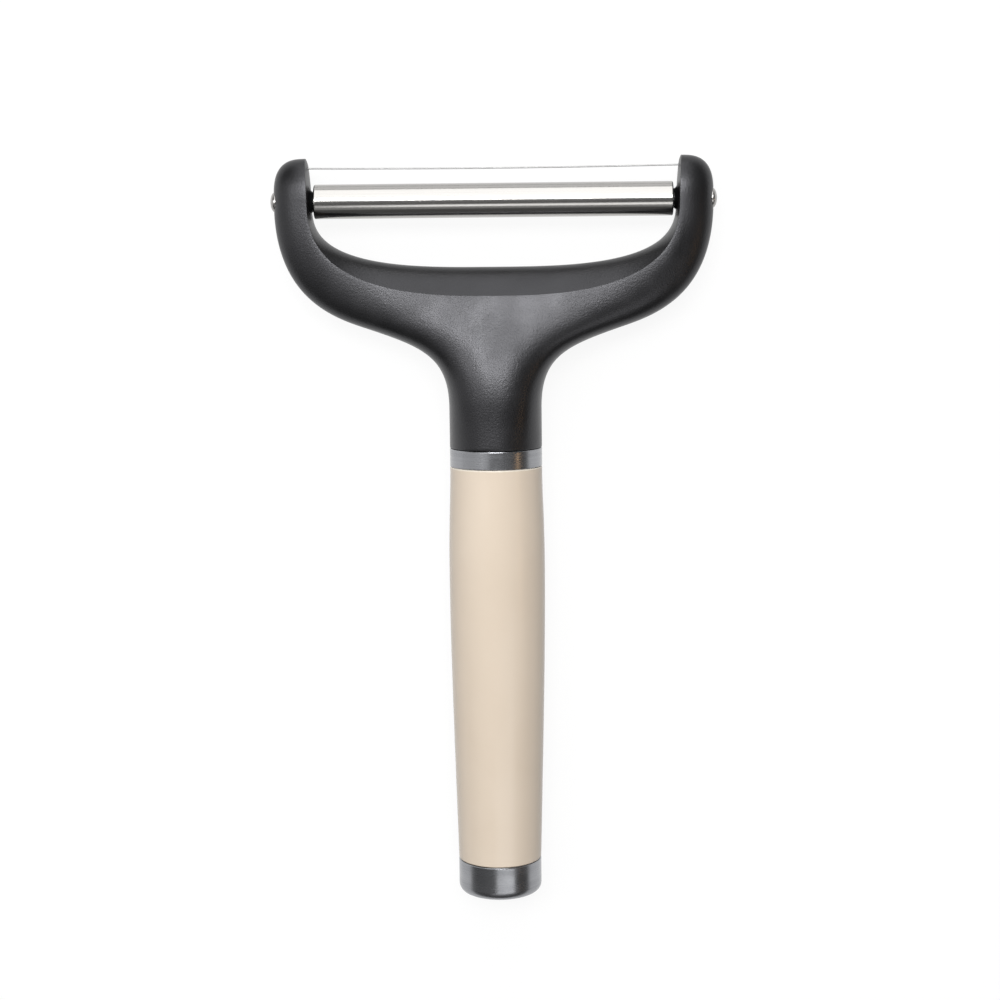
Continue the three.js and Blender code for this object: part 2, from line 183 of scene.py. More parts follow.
class Blank:
    """A shape in millimetres about the roller's axis, on its way to becoming a piece."""

    def __init__(self) -> None:
        """Starts with nothing."""
        self.bm = bmesh.new()

    def turn(self, corners: Sequence[Corner], line: Turning, steps: int, ring: bool) -> "Blank":
        """Turns a profile into a round body.

        Args:
            corners: the profile, from its first corner to its last.
            line: what it turns about.
            steps: facets round the body.
            ring: True where the profile is a closed loop clear of the line.

        Returns:
            The blank itself.
        """
        verts = [self.bm.verts.new(line.point(c.along, c.radius)) for c in corners]
        for pair in pairwise(verts + verts[:1] if ring else verts):
            self.bm.edges.new(pair)
        for vert, corner in zip(verts, corners):
            if corner.round:
                self._round_corner(vert, corner.round)
        bmesh.ops.spin(
            self.bm, geom=self.bm.verts[:] + self.bm.edges[:], cent=(0, 0, 0), axis=line.value,
            angle=math.tau, steps=steps, use_merge=True, use_duplicate=False,
        )
        return self.close()

    def bevel(self, geom: list, affect: str, size: float, segments: int) -> list[bmesh.types.BMVert]:
        """Rounds corners or edges.

        Args:
            geom: the vertices or edges.
            affect: VERTICES or EDGES.
            size: the radius, or the width over an edge.
            segments: flats across the round.

        Returns:
            The vertices of the rounds.
        """
        made = bmesh.ops.bevel(
            self.bm, geom=geom, offset=size, offset_type="OFFSET", segments=segments, profile=TRUE_ROUND,
            affect=affect, clamp_overlap=True, material=-1)
        return made["verts"]

    def _round_corner(self, vert: bmesh.types.BMVert, size: float) -> None:
        """Rounds a corner of a profile, with a point close to each end of the arc to keep the flats true.

        Args:
            vert: the corner.
            size: the radius.
        """
        arc = dict.fromkeys(self.bevel([vert], "VERTICES", size, ARC_SEGMENTS))
        flats = [(edge, end) for end in arc for edge in end.link_edges if edge.other_vert(end) not in arc]
        for edge, end in flats:
            if edge.calc_length() > 2 * STAY:
                bmesh.utils.edge_split(edge, end, STAY / edge.calc_length())

    def drape(
        self, rows: Sequence["Section"], columns: int, law: Callable[["Section", float], Vector]
    ) -> list:
        """Lays a grid of faces over a surface.

        Args:
            rows: what the surface runs through.
            columns: strips across it.
            law: gives the place that belongs to a row and a share from 0 to 1 across it.

        Returns:
            The grid's vertices, each with its row's number and its share.
        """
        half, strips = 0.5, len(rows) - 1
        grid = bmesh.ops.create_grid(self.bm, x_segments=strips, y_segments=columns, size=half)
        laid = []
        for vert in grid["verts"]:
            row, share = round((vert.co.x + half) * strips), vert.co.y + half
            vert.co = law(rows[row], share)
            laid.append((vert, row, share))
        return laid

    def close(self) -> "Blank":
        """Welds the seams and the poles and turns the faces outwards.

        Returns:
            The blank itself.
        """
        bmesh.ops.remove_doubles(self.bm, verts=self.bm.verts[:], dist=WELD)
        bmesh.ops.dissolve_degenerate(self.bm, edges=self.bm.edges[:], dist=WELD)
        bmesh.ops.recalc_face_normals(self.bm, faces=self.bm.faces[:])
        return self

    def set_down(self, name: str) -> Object:
        """Puts the shape in its place in the frame.

        Args:
            name: the object's name.

        Returns:
            A smooth-shaded object at the origin, with its place in its mesh.
        """
        bmesh.ops.transform(self.bm, matrix=SETTING, verts=self.bm.verts[:])
        mesh = bpy.data.meshes.new(name)
        self.bm.to_mesh(mesh)
        self.bm.free()
        piece = stand(name, mesh)
        smooth(piece)
        return piece


def stand(name: str, data: ID) -> Object:
    """Puts an object with its data into the scene.

    Args:
        name: the object's name.
        data: its mesh, lamp or lens.

    Returns:
        The object.
    """
    made = bpy.data.objects.new(name, data)
    bpy.context.scene.collection.objects.link(made)
    return made


def smooth(piece: Object) -> None:
    """Shades a piece smooth, with its real edges left crisp."""
    piece.data.shade_smooth()
    piece.data.set_sharp_from_angle(angle=SHARP_ANGLE)


def work(piece: Object, tool: Blank, joining: Joining) -> None:
    """Works a tool's shape into a piece.

    Args:
        piece: the piece that changes.
        tool: the shape that is added or cut away.
        joining: which of the two.
    """
    cutter = tool.set_down("tool")
    step = piece.modifiers.new("work", "BOOLEAN")
    step.operation, step.solver, step.object = joining.value, "MANIFOLD", cutter
    depsgraph = bpy.context.evaluated_depsgraph_get()
    worked = bpy.data.meshes.new_from_object(piece.evaluated_get(depsgraph))
    piece.modifiers.clear()
    spent, piece.data = piece.data, worked
    worked.name = piece.name
    for mesh in (spent, cutter.data):
        bpy.data.meshes.remove(mesh)
    smooth(piece)


def rod(line: Turning, radius: float, start: float, end: float, steps: int) -> Blank:
    """A plain rod about a line, from start to end along it."""
    corners = [Corner(start, 0), Corner(start, radius), Corner(end, radius), Corner(end, 0)]
    return Blank().turn(corners, line, steps, ring=False)


def fit(piece: Object, finishes: Finishes, body: Body, slot: Slot, *nodes: str) -> None:
    """Dresses a piece and makes it stand for nodes of the frame and ride on their body.

    Args:
        piece: the piece.
        finishes: a material for each slot.
        body: the body that it moves with.
        slot: the slot that its finish comes from.
        nodes: what it replaces.
    """
    piece.data.materials.clear()
    piece.data.materials.append(finishes[slot])
    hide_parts(*nodes)
    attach(piece, body.value)
    log.info("%s stands for %s: %d faces", piece.name, ", ".join(nodes), len(piece.data.polygons))


# Finishes


class Board:
    """A node tree with short calls for its nodes and links."""

    def __init__(self, tree: NodeTree) -> None:
        """Clears the tree."""
        self.tree = tree
        tree.nodes.clear()

    def add(self, kind: str, settings: dict | None = None, **inputs: object) -> Node:
        """Adds a node.

        Args:
            kind: the node's type, without the leading ShaderNode.
            settings: properties of the node.
            inputs: values or sources for its inputs, with _ for a space in a name.

        Returns:
            The node.
        """
        node = self.tree.nodes.new(kind if kind.startswith("Node") else "ShaderNode" + kind)
        for key, value in (settings or {}).items():
            setattr(node, key, value)
        for key, value in inputs.items():
            self.feed(node.inputs[key.replace("_", " ")], value)
        return node

    def feed(self, socket: NodeSocket, value: object) -> None:
        """Links a source to a socket, or sets the socket's value.

        Args:
            socket: the input that takes it.
            value: a source, or a plain value.
        """
        if isinstance(value, NodeSocket):
            self.tree.links.new(value, socket)
        else:
            socket.default_value = value

    def join(self, kind: str, settings: dict | None, *sources: object) -> NodeSocket:
        """Adds a node, feeds its inputs in order and gives its first output.

        Args:
            kind: the node's type, as add takes it.
            settings: properties of the node.
            sources: a value or source for each input.

        Returns:
            The first output.
        """
        node = self.add(kind, settings)
        for socket, source in zip(node.inputs, sources):
            self.feed(socket, source)
        return node.outputs[0]

    def sum(self, operation: str, first: object, second: object) -> NodeSocket:
        """The result of a sum of two values."""
        return self.join("Math", {"operation": operation}, first, second)

    def noise(self, place: object, scale: object, detail: float, rough: float) -> NodeSocket:
        """A cloudy value."""
        node = self.add("TexNoise", None, Vector=place, Scale=scale, Detail=detail, Roughness=rough)
        return node.outputs[0]

    def step(self, value: NodeSocket, low: float, high: float) -> NodeSocket:
        """A mask that rises smoothly while a value goes from low to high."""
        smoothly = {"interpolation_type": "SMOOTHSTEP"}
        return self.add("MapRange", smoothly, Value=value, From_Min=low, From_Max=high).outputs[0]

    def between(self, mask: NodeSocket, low: float, high: float) -> NodeSocket:
        """A value that runs from low to high with a mask."""
        return self.add("MapRange", None, Value=mask, To_Min=low, To_Max=high).outputs[0]

    def tint(self, mask: NodeSocket, low: object, high: object) -> NodeSocket:
        """A colour that runs from low to high with a mask.

        Args:
            mask: from 0 to 1.
            low: the colour, or its source, where the mask is 0.
            high: the colour, or its source, where the mask is 1.

        Returns:
            The colour.
        """
        node = self.add("Mix", {"data_type": "RGBA"})
        for index, value in zip(MIX_INPUTS, (mask, low, high)):
            self.feed(node.inputs[index], value)
        return node.outputs[MIX_OUTPUT]


class Effects:
    """The surface effects that the finishes share, each one a node group."""

    SWELL_SCALE = 0.55
    PATCH_SCALE = 0.035
    PIT_DEPTH = 0.7
    BROAD_SCALE = 0.17
    WARP = (0.012, 0.012, 0.012)

    def __init__(self) -> None:
        """Builds the groups once."""
        self.grain = self._mould_grain()
        self.marks = self._wheel_marks()
        self.handling = self._handling()

    @staticmethod
    def _open(name: str, values: Sequence[str], outputs: Sequence[str]) -> tuple[Board, Node]:
        """Opens a group, which always takes a Vector.

        Args:
            name: the group's name.
            values: its other inputs, which are plain values.
            outputs: its outputs, which are plain values too.

        Returns:
            The board and the node that gives the inputs.
        """
        tree = bpy.data.node_groups.new(name, "ShaderNodeTree")
        tree.interface.new_socket("Vector", in_out="INPUT", socket_type="NodeSocketVector")
        for labels, way in ((values, "INPUT"), (outputs, "OUTPUT")):
            for label in labels:
                tree.interface.new_socket(label, in_out=way, socket_type="NodeSocketFloat")
        board = Board(tree)
        return board, board.add("NodeGroupInput")

    def _mould_grain(self) -> NodeTree:
        """The fine leathery grain that an etched mould leaves, and its patchiness.

        Returns:
            The group.
        """
        board, given = self._open("mould_grain", ("Fineness",), ("Height", "Patches"))
        place, fineness = given.outputs[:2]
        cells = board.add(
            "TexVoronoi", {"feature": "SMOOTH_F1"}, Vector=place, Scale=fineness, Smoothness=0.6)
        swelling, patching = (
            board.sum("MULTIPLY", fineness, share) for share in (self.SWELL_SCALE, self.PATCH_SCALE))
        swell = board.noise(place, swelling, detail=3.0, rough=0.6)
        patches = board.noise(place, patching, detail=4.0, rough=0.55)
        pits = board.sum("MULTIPLY", cells.outputs["Distance"], self.PIT_DEPTH)
        board.add(
            "NodeGroupOutput", None, Height=board.sum("ADD", pits, swell),
            Patches=board.step(patches, low=0.3, high=0.7))
        return board.tree

    def _wheel_marks(self) -> NodeTree:
        """The fine lines of a polishing wheel or belt, on coordinates stretched along them.

        Returns:
            The group.
        """
        board, given = self._open("wheel_marks", (), ("Height", "Streaks"))
        place = given.outputs[0]
        fine = board.noise(place, 1.0, detail=5.0, rough=0.62)
        broad = board.noise(place, self.BROAD_SCALE, detail=3.0, rough=0.5)
        middle = board.sum("MULTIPLY", board.sum("ADD", fine, broad), 0.5)
        board.add("NodeGroupOutput", None, Height=fine, Streaks=board.step(middle, low=0.34, high=0.66))
        return board.tree

    def _handling(self) -> NodeTree:
        """Faint smears and rubbed patches from hands and cloths.

        Returns:
            The group.
        """
        board, given = self._open("handling", ("Spread",), ("Smears",))
        place, spread = given.outputs[:2]
        warp = board.add("TexNoise", None, Vector=place, Scale=spread, Detail=2.0).outputs["Color"]
        bent = board.join("VectorMath", {"operation": "MULTIPLY_ADD"}, warp, self.WARP, place)
        smear = board.noise(bent, spread, detail=6.0, rough=0.65)
        board.add("NodeGroupOutput", None, Smears=board.step(smear, low=0.42, high=0.74))
        return board.tree


def new_board(name: str) -> tuple[Material, Board]:
    """A material and its empty board.

    Args:
        name: the material's name.

    Returns:
        The material and the board.
    """
    material = bpy.data.materials.new(name)
    material.use_nodes = True
    return material, Board(material.node_tree)


@dataclass(frozen=True)
class PaintedLipHighlight:
    """A painted highlight on a rim, painted pale, fully so over the last of its parts, with its end along +Y
    in metres.
    """

    end: float
    width: float
    colour: Colour
    parts: int = 3


@dataclass(frozen=True, kw_only=True)
class Finish(ABC):
    """A surface whose marks run it between two colours and two levels of gloss, with smears over it."""

    colours: tuple[Colour, Colour]
    gloss: tuple[float, float]
    depth: float
    smear: float
    spread: float
    metallic: float = 0.0
    specular: float = 0.5
    sheen: Colour = (1.0, 1.0, 1.0)
    lip: PaintedLipHighlight | None = None

    @abstractmethod
    def marks(self, board: Board, place: NodeSocket, effects: Effects) -> Node:
        """Adds the group of the finish's own marks, which gives their height and then their mask.

        Args:
            board: the material's board.
            place: the object coordinates.
            effects: the shared effects.

        Returns:
            The group's node.
        """

    def material(self, name: str, effects: Effects) -> Material:
        """Makes the material.

        Args:
            name: the material's name.
            effects: the shared effects.

        Returns:
            The material.
        """
        material, board = new_board(name)
        place = board.add("TexCoord").outputs["Object"]
        height, mask = self.marks(board, place, effects).outputs[:2]
        smears = board.add("Group", {"node_tree": effects.handling}, Vector=place, Spread=self.spread)
        smeared = board.sum("MULTIPLY", smears.outputs[0], self.smear)
        bump = board.add("Bump", None, Height=height, Strength=1.0, Distance=self.depth)
        colour = board.tint(mask, *((*colour, 1.0) for colour in self.colours))
        # Painted highlight: a pale band laid over the colour along the lip, standing in for light caught on
        # the rounded edge.
        if self.lip:
            along = board.add("SeparateXYZ", None, Vector=place).outputs["Y"]
            end, width = self.lip.end, self.lip.width
            painted_highlight = board.step(along, low=end - width, high=end - width / self.lip.parts)
            colour = board.tint(painted_highlight, colour, (*self.lip.colour, 1.0))
        shader = board.add(
            "BsdfPrincipled", None, Base_Color=colour, Metallic=self.metallic, Normal=bump.outputs[0],
            Roughness=board.sum("ADD", board.between(mask, *self.gloss), smeared),
            Specular_IOR_Level=self.specular, Specular_Tint=(*self.sheen, 1.0))
        board.add("OutputMaterial", None, Surface=shader.outputs[0])
        return material


@dataclass(frozen=True, kw_only=True)
class MouldedPlastic(Finish):
    """A moulded plastic with the grain of its mould, which hands polish."""

    fineness: float
    smear: float = -0.04
    spread: float = 55.0

    def marks(self, board: Board, place: NodeSocket, effects: Effects) -> Node:
        """Adds the grain."""
        return board.add("Group", {"node_tree": effects.grain}, Vector=place, Fineness=self.fineness)


@dataclass(frozen=True, kw_only=True)
class WorkedSteel(Finish):
    """Stainless steel with the marks of its polishing, which hands dull."""

    lay: tuple[float, float, float]
    smear: float = 0.05
    spread: float = 80.0
    metallic: float = 1.0

    def marks(self, board: Board, place: NodeSocket, effects: Effects) -> Node:
        """Adds the lines of the wheel or belt, drawn out along their lay."""
        drawn = board.add("Mapping", None, Vector=place, Scale=self.lay).outputs[0]
        return board.add("Group", {"node_tree": effects.marks}, Vector=drawn)


FINISHES: dict[Slot, Finish] = {
    Slot.BLACK_NYLON: MouldedPlastic(
        colours=((0.0035, 0.0035, 0.0037), (0.006, 0.006, 0.0063)), gloss=(0.34, 0.41), depth=3e-5,
        fineness=2300.0, specular=0.6, sheen=(0.945, 0.945, 1.0)),
    # The cream grip's top rim carries a painted highlight: its lip is painted pale.
    Slot.CREAM_PLASTIC: MouldedPlastic(
        colours=((0.7, 0.594, 0.48), (0.725, 0.62, 0.506)), gloss=(0.2, 0.25), depth=4e-6,
        fineness=900.0, smear=-0.05, specular=0.32,
        lip=PaintedLipHighlight(end=0.0191875, width=0.0005, colour=(0.86, 0.8, 0.7))),
    Slot.BUSH_PLASTIC: MouldedPlastic(
        colours=((0.018, 0.018, 0.019), (0.024, 0.024, 0.025)), gloss=(0.45, 0.55), depth=1e-5,
        fineness=2600.0),
    Slot.ROLLER_STEEL: WorkedSteel(
        colours=((0.455, 0.445, 0.43), (0.425, 0.415, 0.4)), gloss=(0.15, 0.19), depth=4e-8,
        lay=(18.0, 2600.0, 2600.0), smear=0.012),
    Slot.CAP_STEEL: WorkedSteel(
        colours=((0.42, 0.41, 0.4), (0.34, 0.33, 0.32)), gloss=(0.18, 0.28), depth=1.2e-6,
        lay=(900.0, 900.0, 900.0)),
    Slot.SATIN_STEEL: WorkedSteel(
        colours=((0.325, 0.33, 0.345), (0.275, 0.28, 0.295)), gloss=(0.22, 0.28), depth=8e-7,
        lay=(70.0, 5200.0, 70.0)),
    Slot.WIRE_STEEL: WorkedSteel(
        colours=((0.5, 0.5, 0.5), (0.44, 0.44, 0.44)), gloss=(0.5, 0.6), depth=2e-7,
        lay=(300.0, 4000.0, 4000.0)),
    Slot.FIXING_STEEL: WorkedSteel(
        colours=((0.5, 0.5, 0.5), (0.4, 0.4, 0.4)), gloss=(0.28, 0.42), depth=2e-6,
        lay=(2500.0, 900.0, 900.0)),
}


# Sub-assemblies


@dataclass
class Section:
    """One D-shaped section of the yoke, in the plane of the slicer."""

    ridge: Vector
    crease: Vector
    rim: Vector
    depth: float
    power: float
    walk: float | None = None


@dataclass
class YokeHead:
    """The moulded yoke: two arms, a saddle and a neck in one skin, with tang, bosses and holes."""

    finishes: Finishes
    head_width: float = 124.1
    arm_width: float = 10.35
    arm_depth: float = 14.0
    arm_bulge: float = 0.5
    tip_y: float = 12.075
    tip_lean: float = 0.75
    tip_round: float = 0.45
    wire_y: float = 9.325
    wire_hole: float = 0.95
    pocket_diameter: float = 2.8
    pocket: tuple[float, float] = (1.6, 6.0)
    arch_rise: float = 1.0
    saddle_y: float = -18.7
    crease_y: float = -26.7
    saddle_depth: float = 16.5
    shoulder_drop: float = 1.3
    shoulder_pull: float = 27.4
    flank: tuple[float, float] = (35.1, -36.25)
    flank_slope: float = 0.34
    shoulder_ease: float = 9.0
    fillet_ease: float = 16.3
    fillet_pull: float = 14.35
    fillet_y: float = -58.85
    neck_low: float = -70.05
    neck_diameter: float = 26.4
    tip_power: float = 2.8
    nose_power: float = 2.3
    arm_power: float = 2.3
    ridge_power: float = 3.05
    crease_power: float = 2.68
    saddle_power: float = 3.2
    neck_power: float = 2.0
    lean_power: float = 1.4
    corner_power: float = 12.0
    crowding: float = 1.4
    saddle_share: float = 0.7
    round_share: float = 0.7
    fill_share: float = 0.25
    blend_share: float = 0.5
    least_spread: float = 0.004
    tang_diameter: float = 19.4
    tang_low: float = -113.45
    tang_chamfer: float = 1.0
    screw_hole: float = 3.9
    screw_top: float = -98.35
    pilot_overrun: float = 1.0
    pilot_sides: int = 24
    boss_height: float = 0.8
    boss_top: float = 5.7
    boss_base: float = 8.8
    boss_root: float = 1.3
    boss_edge: float = 0.12
    boss_sides: int = 48
    flare_pull: float = 0.55
    flare_hold: tuple[float, float] = (0.1, 0.7)
    flare_sink: float = 0.35
    flare_points: int = 9
    axle_hole: float = 3.3
    axle_sides: int = 32
    spot_diameter: float = 6.5
    spot_depth: float = 0.85
    spot_sides: int = 64
    wire_sides: int = 20
    crease_round: float = 0.6
    crease_segments: int = 4
    rim_round: float = 0.25
    rim_segments: int = 3
    plain_rows: int = 2
    tip_rows: int = 22
    saddle_rows: int = 96
    neck_rows: int = 44
    skin_columns: int = 50
    wall_columns: int = 14

    def __post_init__(self) -> None:
        """Works out the places that follow from the sizes."""
        self.arm_outer = self.head_width / 2
        self.arm_inner = self.arm_outer - self.arm_width
        self.neck_radius = self.neck_diameter / 2
        self.ridge_arch = self._arch(self.arm_inner, self.saddle_y, self.ridge_power)
        self.crease_arch = self._arch(self.arm_inner + self.arm_bulge, self.crease_y, self.crease_power)
        self.outline = self._outline()
        self.eased = self._crease_sums()

    def _arch(self, half_width: float, low: float, power: float) -> Walk:
        """A quarter of a superellipse from an arm down to the yoke's middle.

        Args:
            half_width: where it springs from the arm.
            low: its lowest place.
            power: 2 for an ellipse, more for a squarer arch.

        Returns:
            The curve.
        """
        points = []
        for k in range(ARCH_POINTS + 1):
            angle = k / ARCH_POINTS * math.pi / 2
            across = abs(math.cos(angle)) ** (2 / power) if k < ARCH_POINTS else 0.0
            drop = math.sin(angle) ** (2 / power)
            points.append(Vector((half_width * across, mix(self.arch_rise, low, drop))))
        return Walk(points)

    def _outline(self) -> Walk:
        """The outer side from an arm over the shoulder, the flank and the fillet to the neck.

        Returns:
            The curve.
        """
        lean = Vector((1.0, self.flank_slope)).normalized()
        shoulder = Vector((self.arm_outer, -self.shoulder_drop))
        flank = Vector(self.flank)
        fillet = Vector((self.neck_radius, self.fillet_y))
        over = interpolate_bezier(
            shoulder, shoulder - Vector((0, self.shoulder_pull)),
            flank + lean * self.shoulder_ease, flank, CURVE_POINTS)
        under = interpolate_bezier(
            flank, flank - lean * self.fillet_ease,
            fillet + Vector((0, self.fillet_pull)), fillet, CURVE_POINTS)
        start, end = Vector((self.arm_outer, self.arch_rise)), Vector((self.neck_radius, self.neck_low))
        return Walk([start] + [p.to_2d() for p in over] + [p.to_2d() for p in under][1:] + [end])

    def _crease_at(self, walk: float) -> Vector:
        """The crease down to the saddle's middle, and the neck's middle line below it.

        Args:
            walk: from 0 at the arm to 1 at the saddle's middle and 2 at the neck's end.

        Returns:
            The place.
        """
        if walk <= 1.0:
            return self.crease_arch.at(walk)
        return Vector((0.0, mix(self.crease_y, self.neck_low, walk - 1.0)))

    def _crease_sums(self) -> list[Vector]:
        """Running sums along the crease, from which any stretch of it is averaged."""
        places = (self._crease_at(WALK_END * (k + 0.5) / CREASE_POINTS) for k in range(CREASE_POINTS))
        return list(accumulate(places, initial=Vector((0.0, 0.0))))

    def _crease_over(self, walk: float, spread: float) -> Vector:
        """The crease averaged over a stretch, so that the skin turns into the neck without a fold.

        Args:
            walk: from 0 at the arm to 1 at the saddle's middle and 2 at the neck's end.
            spread: how far the stretch reaches to each side.

        Returns:
            The averaged place.
        """
        spread = min(spread, walk, WALK_END - walk)
        if spread < self.least_spread:
            return self._crease_at(walk)
        total = [self._sum_to(walk + side * spread) for side in (1, -1)]
        return (total[0] - total[1]) / (spread * CREASE_POINTS)

    def _sum_to(self, walk: float) -> Vector:
        """The running sum up to a place, read between two entries.

        Args:
            walk: the place, from 0 to 2.

        Returns:
            The sum.
        """
        place = min(max(walk, 0.0), WALK_END) * (CREASE_POINTS / WALK_END)
        index = min(int(place), CREASE_POINTS - 1)
        return self.eased[index].lerp(self.eased[index + 1], place - index)

    def _tip(self) -> list[Section]:
        """The rounded end of an arm, above the arch.

        Returns:
            The sections, from top to bottom.
        """
        made = []
        for k in range(self.tip_rows):
            angle = (1 - (k / self.tip_rows) ** self.crowding) * math.pi / 2
            rise = math.sin(angle) ** (2 / self.tip_power)
            reach = abs(math.cos(angle)) ** (2 / self.tip_power) if k else 0.0
            thick = max(1 - rise ** self.nose_power, 0.0) ** (1 / self.nose_power)
            lean = self.tip_lean * rise ** self.lean_power + self.tip_round * rise ** self.corner_power
            inner = self.arm_inner + lean
            outer = mix(self.arm_inner + self.tip_lean + self.tip_round, self.arm_outer, reach)
            y = mix(self.arch_rise, self.tip_y, rise)
            made.append(Section(
                Vector((inner, y)), Vector((inner + self.arm_bulge * thick, y)), Vector((outer, y)),
                self.arm_depth / 2 * thick, self.arm_power))
        return made

    def _saddle(self) -> list[Section]:
        """From an arm round the arch to the saddle's middle.

        Returns:
            The sections, from top to bottom.
        """
        made = []
        for k in range(self.saddle_rows + 1):
            share = k / self.saddle_rows
            made.append(Section(
                self.ridge_arch.at(share), self.crease_arch.at(share),
                self.outline.at(share * self.saddle_share),
                mix(self.arm_depth, self.saddle_depth, ease(share)) / 2,
                mix(self.arm_power, self.saddle_power, ease(share)), share))
        return made

    def _neck(self) -> list[Section]:
        """From the saddle's middle down to the round neck.

        Returns:
            The sections, from top to bottom.
        """
        made = []
        for k in range(1, self.neck_rows + 1):
            share = k / self.neck_rows
            centre = self._crease_at(1.0 + share)
            made.append(Section(
                centre, centre, self.outline.at(mix(self.saddle_share, 1.0, share)),
                self.saddle_depth / 2, mix(self.saddle_power, self.neck_power, ease(share)), 1.0 + share))
        return made

    def _tang(self) -> list[Section]:
        """The round tang under the neck, closed at its end.

        Returns:
            The sections, from top to bottom.
        """
        radius = self.tang_diameter / 2
        steps = [(radius, self.neck_low), (radius, self.tang_low + self.tang_chamfer),
                 (radius - self.tang_chamfer, self.tang_low), (0.0, self.tang_low)]
        return [Section(c := Vector((0.0, y)), c, Vector((r, y)), r, self.neck_power) for r, y in steps]

    def _skin_point(self, section: Section, share: float) -> Vector:
        """A point of the outer skin, from the back over the rim to the front.

        Args:
            section: the section that it lies on.
            share: from 0 at the back crease to 1 at the front one.

        Returns:
            The point.
        """
        angle = share * math.pi
        out = math.sin(angle) ** (2 / section.power) if 0 < share < 1 else 0.0
        lift = -math.copysign(abs(math.cos(angle)) ** (2 / section.power), math.cos(angle))
        crease, fill = section.crease, 0.0
        if section.walk is not None:
            crease = self._crease_over(section.walk, self.blend_share * out)
            fill = ease((section.walk - self.fill_share) / (1 - self.fill_share))
        place = crease.lerp(section.rim, out)
        edge = max(section.crease.y, self.crease_y)
        return Vector((*place, lift * (section.depth + fill * self._swell(edge - place.y))))

    def _swell(self, drop: float) -> float:
        """How far the front swells towards the neck, at a drop below its crease.

        Args:
            drop: the distance below the crease.

        Returns:
            The distance that it swells by.
        """
        share = drop / (self.crease_y - self.neck_low) / self.round_share
        share = min(max(share, 0.0), 1.0)
        return (self.neck_radius - self.saddle_depth / 2) * (ease(share) + share * (2.0 - share)) / 2

    @staticmethod
    def _wall_point(section: Section, share: float) -> Vector:
        """A point of the inner wall, from the front crease over the ridge to the back crease."""
        lift = 1 - 2 * share
        return Vector((*section.ridge.lerp(section.crease, lift * lift), lift * section.depth))

    def _shell(self) -> Blank:
        """The yoke's skin and inner wall in one closed shell, with its creases rounded.

        Returns:
            The shell.
        """
        blank = Blank()
        mark = blank.bm.verts.layers.int.new("mark")
        sections = self._tip() + self._saddle() + self._neck() + self._tang()
        walled = self.tip_rows + self.saddle_rows
        skin = blank.drape(sections, self.skin_columns, self._skin_point)
        wall = blank.drape(sections[:walled + 1], self.wall_columns, self._wall_point)
        for vert, row, share in skin + wall:
            if min(share, 1 - share) < EDGE_SHARE and self.plain_rows < row <= walled:
                vert[mark] = CREASE_MARK
        for vert, row, _ in skin:
            if row == walled + self.neck_rows:
                vert[mark] = RIM_MARK
        blank.close()
        bmesh.ops.mirror(
            blank.bm, geom=blank.bm.verts[:] + blank.bm.edges[:] + blank.bm.faces[:],
            matrix=Matrix.Identity(4), merge_dist=WELD, axis="X")
        blank.close()
        rounds = ((CREASE_MARK, self.crease_round, self.crease_segments),
                  (RIM_MARK, self.rim_round, self.rim_segments))
        for number, width, segments in rounds:
            edges = [e for e in blank.bm.edges if all(v[mark] == number for v in e.verts) and e.is_manifold
                     and e.calc_face_angle() > FLAT_ANGLE]
            blank.bevel(edges, "EDGES", width, segments)
        bmesh.ops.recalc_face_normals(blank.bm, faces=blank.bm.faces[:])
        return blank

    def _boss(self, side: Side) -> Blank:
        """The flared boss on an arm's inner side that the roller runs against.

        Args:
            side: the arm.

        Returns:
            The boss, with a root inside the arm.
        """
        top, base = self.boss_top / 2, self.boss_base / 2
        face, root = self.arm_inner - self.boss_height, self.arm_inner + self.boss_root
        sink, hold = self.flare_hold
        flare = interpolate_bezier(
            Vector((face, top)), Vector((face + self.flare_pull, top)),
            Vector((self.arm_inner + sink, base - hold)),
            Vector((self.arm_inner + self.flare_sink, base)), self.flare_points)
        corners = [Corner(face, 0.0), Corner(face, top - self.boss_edge),
                   *(Corner(p.x, p.y) for p in flare[1:]), Corner(root, base), Corner(root, 0.0)]
        turned = [Corner(c.along * side.value, c.radius) for c in corners]
        return Blank().turn(turned, Turning.ROLLER, self.boss_sides, ring=False)

    def _anchor_hole(self, side: Side) -> Blank:
        """The wire's hole in an arm tip, which widens to a pocket round the wire's anchor.

        Args:
            side: the arm.

        Returns:
            The tool that cuts it, on the roller's line.
        """
        narrow, wide = self.wire_hole / 2, self.pocket_diameter / 2
        start, mouth, end = (side.value * (self.arm_inner + depth) for depth in (-OVERRUN, *self.pocket))
        corners = [Corner(start, 0), Corner(start, narrow), Corner(mouth, narrow),
                   Corner(mouth, wide), Corner(end, wide), Corner(end, 0)]
        return Blank().turn(corners, Turning.ROLLER, self.wire_sides, ring=False)

    def build(self) -> None:
        """Makes, dresses and fits the yoke."""
        yoke = self._shell().set_down("yoke")
        lift = Matrix.Translation((0, self.wire_y, 0))
        for side in Side:
            inside, outside = side.value * (self.arm_inner - OVERRUN), side.value * (self.arm_outer + OVERRUN)
            spot = side.value * (self.arm_outer - self.spot_depth)
            hole = self._anchor_hole(side)
            bmesh.ops.transform(hole.bm, matrix=lift, verts=hole.bm.verts[:])
            work(yoke, self._boss(side), Joining.ADD)
            tools = (rod(Turning.ROLLER, self.axle_hole / 2, inside, outside, self.axle_sides),
                     rod(Turning.ROLLER, self.spot_diameter / 2, spot, outside, self.spot_sides), hole)
            for tool in tools:
                work(yoke, tool, Joining.CUT)
        low = self.tang_low - self.pilot_overrun
        pilot = rod(Turning.HANDLE, self.screw_hole / 2, low, self.screw_top, self.pilot_sides)
        work(yoke, pilot, Joining.CUT)
        fit(yoke, self.finishes, Body.SLICER, Slot.BLACK_NYLON, "head_yoke")


